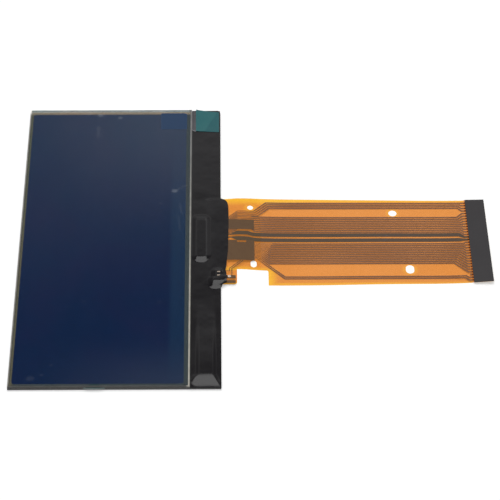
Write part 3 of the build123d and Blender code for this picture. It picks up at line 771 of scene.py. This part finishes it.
def film_glow(paint):
    """1 at the far edge and the notch's end, less at the other edges and holes, falling smoothly to 0."""
    across = paint.axis("X")
    along = paint.axis("Y")
    past_root = paint.between(across, 40, 56)
    width = paint.math("MULTIPLY_ADD", past_root, run_glow_width - root_glow_width, root_glow_width)
    far = paint.between(paint.math("DIVIDE", paint.math("SUBTRACT", tail.y1, along), width), 0, 1, 1, 0)
    near = paint.between(paint.math("SUBTRACT", along, tail.y0 + 0.55), 0, 0.9, near_glow, 0)
    side = paint.between(across, notch_end, notch_end + 3.2, 1, 0)
    side = paint.math("MULTIPLY", side, paint.between(along, notch_side + 1.6, notch_side - 0.6))
    side = paint.math("MULTIPLY", side, paint.between(across, notch_end - 1.2, notch_end - 0.2))
    inner = paint.between(paint.math("SUBTRACT", along, notch_side), 0, 1.7, inner_glow, 0)
    inner = paint.math("MULTIPLY", inner, paint.between(across, notch_end + 0.5, notch_end - 1))
    inner = paint.math("MULTIPLY", inner, paint.between(along, notch_side - 0.6, notch_side - 0.2))
    glow = paint.math("MAXIMUM", paint.math("MAXIMUM", far, near), paint.math("MAXIMUM", side, inner))
    for x, y, reach in hole_glows:
        away_x = paint.math("SUBTRACT", across, x / mm)
        away_y = paint.math("SUBTRACT", along, y / mm)
        away = paint.math("SQRT", paint.math("ADD", paint.math("MULTIPLY", away_x, away_x),
                                             paint.math("MULTIPLY", away_y, away_y)))
        glow = paint.math("MAXIMUM", glow, paint.between(away, hole_edge, reach, hole_glow, 0))
    return glow


def amber_paint(name, tint, pale_tint=None, end_tint=None):
    """Tinted window, paler where the film glows, mottled, and perhaps of another tint past the coverlay."""
    paint = Paint(name)
    ripple = paint.noise(60, 3, 0.5, paint.stretched((0.5, 1.0, 1.0)))
    weave = paint.noise(900, 2, 0.6)
    deeper = paint.math("MULTIPLY_ADD", weave, 0.3, paint.math("MULTIPLY", ripple, 0.7))
    if pale_tint:
        tint = paint.blend(film_glow(paint), tint, pale_tint)
    shade = paint.blend(paint.between(deeper, 0.3, 0.7), (1, 1, 1), (0.99, 0.975, 0.93))
    if end_tint:
        past_cover = paint.between(paint.axis("X"), cover_end - 0.02, cover_end + 0.02)
        tint = paint.blend(past_cover, tint, end_tint)
    paint.finish(Base_Color=(0.80, 0.36, 0.10), Roughness=0.3, Specular_IOR_Level=0.0)
    return paint.see_through(paint.multiply(tint, shade), 0.0)


base_sheet = raised_copy("tail_film_sheet", "tail_base_film", film_rise, "polyimide", spread_film)
base_sheet.data.materials.append(
    amber_paint("base_film_finish", (0.99, 0.94, 0.87), None, (0.872, 0.55, 0.29)))
root_sheet = raised_copy("root_film_sheet", "root_coverlay", film_rise, "polyimide", spread_film)
root_sheet.data.materials.append(amber_paint("root_film_finish", (0.995, 0.985, 0.93)))
cover_sheet = raised_copy("tail_cover_sheet", "tail_coverlay", cover_rise, "polyimide", spread_film)
cover_sheet.data.materials.append(
    amber_paint("coverlay_finish", (0.880, 0.580, 0.325), (0.975, 0.760, 0.290)))
let_light_through(base_sheet, root_sheet, cover_sheet)

# %% [markdown]
# Copper under the film looks dark, partly because the foil is browned to hold the glue, and partly as a
# painted reflection: it is a dull dark body and no mirror, painted as dark as the dim room that a copper
# mirror would show. The wide bands and the plates at the root are darker than the thin lines. The contacts'
# undersides are gold plated, and the via and the capacitors' ends are tinned.

# %% Metals


def metal_paint(name, dark, light, metallic, roughness, scale=900):
    paint = Paint(name)
    tarnish = paint.noise(scale, 4, 0.6)
    colour = paint.blend(tarnish, dark, light)
    rough = paint.between(tarnish, 0.3, 0.7, roughness * 0.8, roughness * 1.25)
    return paint.finish(Base_Color=colour, Metallic=metallic, Roughness=rough, Specular_IOR_Level=0.3)


# Painted reflection: this dark colour stands for the dim room that bare copper would mirror.
copper = metal_paint("copper_finish", (0.180, 0.094, 0.068), (0.212, 0.113, 0.082), 0.0, 0.4)
band_copper = metal_paint("band_copper_finish", (0.079, 0.061, 0.055), (0.094, 0.073, 0.066), 0.0, 0.4)
root_copper = metal_paint("root_copper_finish", (0.096, 0.050, 0.025), (0.124, 0.069, 0.040), 0.0, 0.4)
dress(copper, "far_conductors", "upper_conductors", "lower_conductors", "near_conductors", "blank_contact")
dress(band_copper, "supply_bands")
dress(root_copper, "root_shield_copper", "tab_copper")
dress(metal_paint("gold_finish", (0.78, 0.52, 0.20), (0.90, 0.66, 0.30), 1.0, 0.25), "contact_plating")
dress(metal_paint("tin_finish", (0.62, 0.60, 0.56), (0.80, 0.78, 0.74), 1.0, 0.35), "via_ring",
      "capacitor_solder")
dress(metal_paint("terminal_finish", (0.22, 0.16, 0.12), (0.56, 0.47, 0.38), 0.2, 0.6, 3500),
      "capacitor_terminals")

# %% [markdown]
# Small hidden pieces get plain real finishes too: the ground silicon of the chip, the glue films, and the
# fired ceramic of the capacitors.

# %% Chip, glue and ceramic


def speckled_paint(name, dark, light, roughness, scale):
    paint = Paint(name)
    grain = paint.noise(scale, 4, 0.65)
    colour = paint.blend(grain, dark, light)
    return paint.finish(Base_Color=colour, Roughness=roughness, Normal=paint.bump(grain, 0.01, 0.5))


dress(speckled_paint("silicon_finish", (0.02, 0.02, 0.024), (0.045, 0.045, 0.05), 0.25, 1500),
      "driver_chip")
dress(speckled_paint("glue_finish", (0.30, 0.25, 0.17), (0.42, 0.36, 0.25), 0.5, 1500), "chip_bond_film",
      "tail_bond_film", "stiffener_adhesive")
dress(speckled_paint("ceramic_finish", (0.28, 0.20, 0.13), (0.36, 0.27, 0.18), 0.4, 2500),
      "capacitor_bodies")

# %% [markdown]
# The stiffener is a strip of matt black laminate. Its face has a fine grain and faint worn patches.

# %% Stiffener


def stiffener_paint():
    paint = Paint("stiffener_finish")
    grain = paint.noise(2600, 4, 0.7)
    wear = paint.noise(120, 3, 0.6)
    colour = paint.blend(wear, (0.029, 0.0265, 0.0285), (0.041, 0.038, 0.040))
    return paint.finish(Base_Color=colour, Roughness=0.62, Specular_IOR_Level=0.3,
                        Normal=paint.bump(grain, 0.02, 0.35))


dress(stiffener_paint(), "contact_stiffener")

# %% [markdown]
# Black tape covers the ledge, the chip and the tail's root. A real tape drapes: it rises over what lies
# under it and hangs in short slopes beside it. The tape is a grid, from a first row beside the front glass
# to a last row at its outer edge. Its height is the ledge's plus a bump for each thing below. A bump is 1
# over that thing's box and falls to 0 over a short reach on each side, with round corners. The outer rows
# follow the outline and bend down over the glass edge. Each box is lowest and highest x, then lowest and
# highest y, and each set of reaches goes to the left, the right, the near and the far side.

# %% Ledge tape
tape_thickness = 0.07
tape_rows = 88
tape_columns = 540
fold_share = 0.88
fold_drop = 0.6
tail_drop = 0.02
chip_box = (chip.x0, chip.x1, chip.y0, chip.y1)
chip_reaches = (1.9, 2.4, 2.1, 2.4)
chip_bow = 0.5
chip_bow_half = 1.8
root_box = (root_film.x0 + 0.6, 99, -14.5, tail.y1 - 0.3)
root_reaches = (3.2, 1, 1.6, 0.8)
first_capacitor = (29.5, 30.3, -13.6, -12.0)
first_reaches = (2.2, 1.4, 1.4, 2.6)
second_capacitor = (28.75, 30.6, -15.1, -14.4)
second_reaches = (2.0, 2.0, 2.5, 1.7)
second_slant = 0.2
slant_start = 29.3
lobe_box = (30.6, 31.8, -14.2, -13.8)
lobe_reaches = (2.0, 2.4, 2.6, 1.7)
lobe_share = 0.92
pocket_height = 0.45
pocket_corner = -46.9
pocket_flat = (-46.6, -46.2)
pocket_falls = (4.8, 26)
pocket_right = 28.2
pocket_right_slope = 0.42
pocket_left = 23.8
pocket_left_bow = 1.4
pocket_left_middle = -49.0
pocket_left_half = 2.1
pocket_slopes = (1.5, 1.2)
wave_depths = (0.012, 0.004)
first_rise = capacitors.z1 + 0.01 - rear_glass.z1 - tape_thickness
wrap_reach = 0.07
tape_edge_knots = [
    # x and y of the outer edge, from the near end to the far end
    (ledge_edge + wrap_reach, -52.0), (ledge_edge + wrap_reach, -16.7), (31.0, -16.2), (31.6, -15.9),
    (32.0, -15.4), (32.08, -13.5), (31.9, -11.8), (31.69, -11.0), (31.96, -9.2), (32.11, -6.7),
    (32.39, -3.7), (32.5, 1.8), (32.6, 6.0), (32.6, 9.4), (32.55, 12.6), (32.42, 13.9), (32.1, 14.8),
    (31.55, 15.45), (30.9, 15.8), (ledge_edge + wrap_reach, 16.1), (ledge_edge + wrap_reach, 50.3),
    (30.38, 50.75), (30.2, 51.1), (29.9, 51.4),
]
tape_level = rear_glass.z1 + tape_thickness
# Painted highlights on the tape: a faint pale line along the chip's right edge, a short bar at its far end,
# and the corner between them.
tape_highlight_lines = [
    # lowest and highest x, lowest and highest y, half width, amount
    (26.68, 26.72, -6.3, 7.2, 0.10, 0.32),
    (24.3, 26.1, 8.3, 8.4, 0.25, 0.15),
    (26.5, 26.6, 7.3, 8.3, 0.16, 0.40),
]


def plateau(value, low, high, low_slope, high_slope):
    """1 between low and high, falling to 0 over a slope outside each end."""
    return smooth_step(low - low_slope, low, value) * (1 - smooth_step(high, high + high_slope, value))


def outside(value, low, high, low_reach, high_reach):
    """0 between low and high, and then the distance past them as a share of each side's reach."""
    return np.maximum(low - value, 0) / low_reach + np.maximum(value - high, 0) / high_reach


def mound(x, y, box, reaches):
    """1 over a box. Outside, the smooth fall of the two shares' hypotenuse, so the corners are round."""
    left, right, near, far = reaches
    across = outside(x, box[0], box[1], left, right)
    along = outside(y, box[2], box[3], near, far)
    return 1 - smooth_step(0, 1, np.hypot(across, along))


def dome(x, y, box, reaches):
    """1 over a box. Outside, the square of what is left of 1 after the squared share of the way out."""
    left, right, near, far = reaches
    across = outside(x, box[0], box[1], left, right)
    along = outside(y, box[2], box[3], near, far)
    return (1 - np.minimum(across**2 + along**2, 1)) ** 2


def tape_height(x, y):
    """Height of the tape's top: the ledge's level, the highest bump at each place, the pocket and waves.

    Nothing rises past the top of the CAD tape.
    """
    chip_rise = chip.z1 + tape_thickness - tape_level
    bow = np.where(y < 0, chip_bow * ((x - (chip.x0 + chip.x1) / 2) / chip_bow_half) ** 2, 0)
    over_chip = chip_rise * mound(x, y - bow, chip_box, chip_reaches)
    root_rise = root_film.z1 + tape_thickness - tape_level
    over_root = root_rise * mound(x, y, root_box, root_reaches)
    first = first_rise * mound(x, y, first_capacitor, first_reaches)
    top_rise = capacitors.z1 + 0.02 + tape_thickness - tape_level
    slant = second_slant * np.maximum(x - slant_start, 0)
    left_lobe = dome(x, y - slant, second_capacitor, second_reaches)
    right_lobe = lobe_share * dome(x, y, lobe_box, lobe_reaches)
    second = top_rise * (left_lobe + right_lobe - left_lobe * right_lobe)
    near = np.minimum(y, pocket_corner)
    right_side = pocket_right + pocket_right_slope * (pocket_corner - near)
    left_side = pocket_left + pocket_left_bow * ((near - pocket_left_middle) / pocket_left_half) ** 2
    pocket = pocket_height * plateau(x, left_side, right_side, *pocket_slopes)
    pocket = pocket * plateau(y, *pocket_flat, *pocket_falls)
    bumps = np.maximum(np.maximum(over_chip, over_root), np.maximum(first, second))
    height = tape_level + bumps + pocket
    waves = wave_depths[0] * value_noise(x, y, 3.1, 5) + wave_depths[1] * value_noise(x, y, 1.1, 6)
    beside_glass = 1 - smooth_step(0, 0.6, x - tape.x0)
    still = np.maximum(mound(x, y, first_capacitor, (0.2, 0.2, 0.2, 0.2)), beside_glass)
    return np.minimum(height + waves * (1 - still), tape.z1)


def tape_outer_edge(y):
    """X of the tape's outer edge, read along straight lines between its knots."""
    knots = np.array(tape_edge_knots)
    return np.interp(y, knots[:, 1], knots[:, 0])


def painted_tape_highlight(x, y):
    """How strongly a highlight is painted on the tape: bell curves round each line, faded at its ends."""
    total = np.zeros_like(x)
    for x0, x1, y0, y1, half, amount in tape_highlight_lines:
        away_x = outside(x, x0, x1, half, half)
        away_y = outside(y, y0, y1, half, half)
        total += amount * np.exp(-(away_x**2 + away_y**2))
    return total


def make_ledge_tape():
    y = np.linspace(tape.y0, tape.y1, tape_columns)
    share = np.linspace(0, 1, tape_rows)
    across = np.minimum(share / fold_share, 1)[:, None]
    down = np.clip((share - fold_share) / (1 - fold_share), 0, 1)[:, None]
    edge = tape_outer_edge(y)[None, :]
    y = np.broadcast_to(y[None, :], (tape_rows, tape_columns))
    x = tape.x0 + across * (edge - tape.x0)
    height = tape_height(x, y)
    over_tail = smooth_step(0.05, 0.4, edge - ledge_edge - wrap_reach)
    drop = np.where(over_tail > 0.5, tail_drop, fold_drop) * down
    top = np.stack([x, y, height - drop], axis=2)
    bottom = top - np.array([0, 0, tape_thickness])
    piece = make_piece("ledge_tape_sheet", *closed_sheet(top, bottom), "black_tape", ["ledge_tape"])
    painted_highlight = painted_tape_highlight(x, y).ravel()
    store(piece, "painted_highlight", np.concatenate([painted_highlight, painted_highlight]))
    return piece


def tape_paint():
    paint = Paint("black_tape_finish")
    grain = paint.noise(1400, 3, 0.6)
    wear = paint.noise(150, 4, 0.6)
    colour = paint.blend(wear, (0.0055, 0.0046, 0.0060), (0.0095, 0.0086, 0.0100))
    # Painted highlight: the tape's colour is lifted towards grey along the lines above.
    colour = paint.blend(paint.stored("painted_highlight"), colour, (0.05, 0.05, 0.053))
    rough = paint.between(wear, 0.3, 0.7, 0.15, 0.19)
    return paint.finish(Base_Color=colour, Roughness=rough, Specular_IOR_Level=0.31,
                        Normal=paint.bump(grain, 0.01, 0.2))


make_ledge_tape().data.materials.append(tape_paint())

# %% [markdown]
# The lift tab has three layers: a square patch of glue, a clear tape, and a green film that is still loose
# on the black tape. The green film has one crease across it, with the darker half on its near right side,
# and its far left corner stands up a little.

# %% Lift tab
green_corners = [(23.70, 51.35), (30.16, 50.55), (30.16, 42.42), (23.72, 42.82)]
green_thickness = 0.05
corner_lift = 0.36
crease_slope = 2.23
crease_point = (29.3, 49.8)
crease_height = 0.05
crease_half = 2.2
clear_end = 23.85
clear_near = 42.8
clear_thickness = 0.045


def make_green_film():
    """Grid between four corners, highest at the far left one, with a bell curve of height on the crease."""
    far_left, far_right, near_right, near_left = np.array(green_corners)
    across = np.linspace(0, 1, 60)[:, None, None]
    along = np.linspace(0, 1, 80)[None, :, None]
    plan = (near_left * (1 - across) + near_right * across) * (1 - along)
    plan = plan + (far_left * (1 - across) + far_right * across) * along
    x, y = plan[:, :, 0], plan[:, :, 1]
    fold = np.abs((y - crease_point[1]) - (x - crease_point[0]) * crease_slope)
    lift = crease_height * np.exp(-((fold / crease_half) ** 2)) + 0.012 * value_noise(x, y, 2.6, 21)
    corner = corner_lift * smooth_step(44, 51.35, y) * (1 - smooth_step(-2, 6.5, x - near_left[0]))
    height = green.z0 + 0.12 - 0.09 * smooth_step(0.2, 1.4, x - near_left[0]) + corner
    height = height + lift * smooth_step(0, 0.8, x - near_left[0])
    bottom = np.stack([x, y, height], axis=2)
    top = bottom + (0, 0, green_thickness)
    return make_piece("lift_tab_green_sheet", *closed_sheet(top, bottom), "green_film",
                      ["lift_tab_green_film"])


def make_clear_tape():
    """Sheet whose height falls by a smooth step from the screen's face to the ledge's tape."""
    across = np.linspace(clear.x0, clear_end, 120)
    along = np.linspace(clear_near, clear.y1, 40)
    x, y = np.meshgrid(across, along, indexing="ij")
    fall = smooth_step(front_glass.x1 - 0.35, front_glass.x1 + 0.85, x)
    waves = 0.012 * value_noise(x, y, 2.2, 31) * smooth_step(0, 1, x - front_glass.x1)
    base = patch.z1 + layer_gap + (green.z0 + 0.06 - patch.z1) * fall + waves
    bottom = np.stack([x, y, base], axis=2)
    top = bottom + (0, 0, clear_thickness)
    return make_piece("lift_tab_clear_sheet", *closed_sheet(top, bottom), "clear_tape",
                      ["lift_tab_clear_tape"])


def green_paint():
    paint = Paint("green_film_finish")
    grain = paint.noise(700, 3, 0.6)
    crease = paint.math("MULTIPLY_ADD", paint.axis("X"), -crease_slope, paint.axis("Y"))
    dark_half = paint.between(crease, -15.7, -15.3)
    light = paint.blend(grain, (0.021, 0.116, 0.124), (0.028, 0.134, 0.142))
    dark = paint.blend(grain, (0.017, 0.097, 0.108), (0.024, 0.113, 0.126))
    return paint.finish(Base_Color=paint.blend(dark_half, dark, light), Roughness=0.3,
                        Specular_IOR_Level=0.25)


def clear_tape_paint():
    paint = Paint("clear_tape_finish")
    cloud = paint.noise(300, 4, 0.65)
    over_ledge = paint.between(paint.axis("X"), front_glass.x1 - 0.2, front_glass.x1 + 0.1)
    share = paint.math("MULTIPLY", paint.between(cloud, 0.3, 0.7, 0.8, 1.2),
                       paint.math("MULTIPLY_ADD", over_ledge, 0.07, 0.0))
    edge = paint.math("MULTIPLY", paint.between(paint.axis("Y"), 43.02, 42.92), over_ledge)
    share = paint.math("MAXIMUM", share, paint.math("MULTIPLY", edge, 0.45))
    paint.finish(Base_Color=(0.50, 0.50, 0.54), Roughness=0.3, Specular_IOR_Level=0.0)
    return paint.see_through((0.985, 0.99, 0.995), share)


def patch_paint():
    paint = Paint("lift_tab_patch_finish")
    mottle = paint.noise(2600, 3, 0.6)
    colour = paint.blend(mottle, (0.011, 0.036, 0.089), (0.022, 0.050, 0.111))
    return paint.finish(Base_Color=colour, Roughness=0.15, Specular_IOR_Level=0.2)


def make_patch():
    """Flat closed sheet on the film: two rings of six corners, a rectangle with one corner cut off."""
    corners = [(14.05, 42.9), (21.25, 42.9), (21.25, 48.9), (21.0, 49.35), (20.6, 49.5), (14.0, 49.5)]
    rings = np.array([[(x, y, level) for x, y in corners] for level in (patch.z0, patch.z1)])
    return make_piece("lift_tab_patch_sheet", *stacked_rings(rings), "adhesive", ["lift_tab_patch"])


make_green_film().data.materials.append(green_paint())
clear_sheet = make_clear_tape()
clear_sheet.data.materials.append(clear_tape_paint())
let_light_through(clear_sheet)
patch_sheet = make_patch()
patch_sheet.data.materials.append(patch_paint())
let_light_through(patch_sheet)
